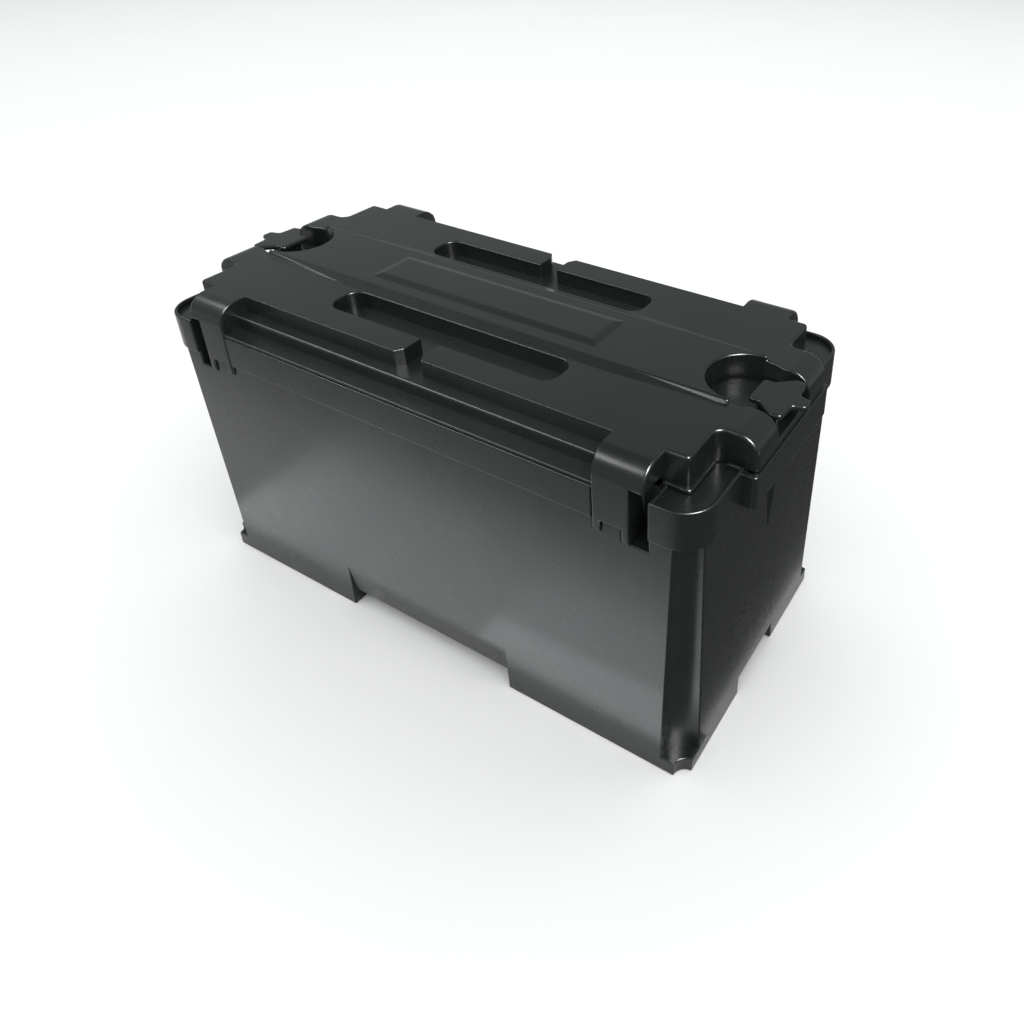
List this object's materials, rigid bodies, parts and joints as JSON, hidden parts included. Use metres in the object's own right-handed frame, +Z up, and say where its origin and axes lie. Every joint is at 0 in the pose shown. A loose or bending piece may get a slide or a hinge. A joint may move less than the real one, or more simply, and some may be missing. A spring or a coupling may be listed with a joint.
{
  "type": "battery pack",
  "caption": "Closed black moulded battery box with a lift-off stepped lid, corner legs and end wells, holding a flooded lead-acid battery with turning vent caps.",
  "frame": {"origin": "middle of the resting plane under the feet", "axes": "+X along the box's length, +Y across it, +Z up"},
  "size_m": [0.658, 0.3, 0.3425],
  "materials": {
    "base_plastic": "satin moulded black polypropylene",
    "lid_plastic": "satin moulded black polypropylene",
    "spacer_foam": "fine-textured black foam",
    "case_plastic": "translucent-looking natural polypropylene",
    "cover_plastic": "moulded black polypropylene",
    "cap_plastic": "moulded amber-red plastic",
    "seal_rubber": "soft rubber",
    "lead": "dull cast lead",
    "positive_cover": "soft red plastic",
    "negative_cover": "soft black plastic",
    "positive_paste": "dark brown lead-dioxide paste",
    "negative_paste": "grey sponge-lead paste",
    "separator": "porous sheet"
  },
  "bodies": {
    "base": {"box_base": "base_plastic", "box_spacers": "spacer_foam", "battery_case": "case_plastic", "battery_cover": "cover_plastic", "vent_seals": "seal_rubber", "positive_post": "lead", "positive_bushing": "lead", "negative_post": "lead", "negative_bushing": "lead", "positive_plates": "positive_paste", "negative_plates": "negative_paste", "plate_separators": "separator", "plate_straps": "lead", "cell_connectors": "lead"},
    "lid": {"box_lid": "lid_plastic"},
    "vent_cap_1": {"vent_cap_1": "cap_plastic"},
    "vent_cap_2": {"vent_cap_2": "cap_plastic"},
    "vent_cap_3": {"vent_cap_3": "cap_plastic"},
    "vent_cap_4": {"vent_cap_4": "cap_plastic"},
    "vent_cap_5": {"vent_cap_5": "cap_plastic"},
    "vent_cap_6": {"vent_cap_6": "cap_plastic"},
    "positive_post_cover": {"positive_post_cover": "positive_cover"},
    "negative_post_cover": {"negative_post_cover": "negative_cover"}
  },
  "joints": [
    {"name": "lid_lift", "type": "slide", "parent": "base", "child": "lid", "axis": [0, 0, 1], "range_m": [0, 0.3]},
    {"name": "vent_cap_1_turn", "type": "hinge", "parent": "base", "child": "vent_cap_1", "pos_m": [0.173, 0.02, 0.2516], "axis": [0, 0, 1], "range_deg": [0, 90]},
    {"name": "vent_cap_2_turn", "type": "hinge", "parent": "base", "child": "vent_cap_2", "pos_m": [0, 0.02, 0.2516], "axis": [0, 0, 1], "range_deg": [0, 90]},
    {"name": "vent_cap_3_turn", "type": "hinge", "parent": "base", "child": "vent_cap_3", "pos_m": [-0.173, 0.02, 0.2516], "axis": [0, 0, 1], "range_deg": [0, 90]},
    {"name": "vent_cap_4_turn", "type": "hinge", "parent": "base", "child": "vent_cap_4", "pos_m": [-0.173, -0.02, 0.2516], "axis": [0, 0, 1], "range_deg": [0, 90]},
    {"name": "vent_cap_5_turn", "type": "hinge", "parent": "base", "child": "vent_cap_5", "pos_m": [0, -0.02, 0.2516], "axis": [0, 0, 1], "range_deg": [0, 90]},
    {"name": "vent_cap_6_turn", "type": "hinge", "parent": "base", "child": "vent_cap_6", "pos_m": [0.173, -0.02, 0.2516], "axis": [0, 0, 1], "range_deg": [0, 90]},
    {"name": "positive_cover_lift", "type": "slide", "parent": "base", "child": "positive_post_cover", "axis": [0, 0, 1], "range_m": [0, 0.03]},
    {"name": "negative_cover_lift", "type": "slide", "parent": "base", "child": "negative_post_cover", "axis": [0, 0, 1], "range_m": [0, 0.03]}
  ]
}
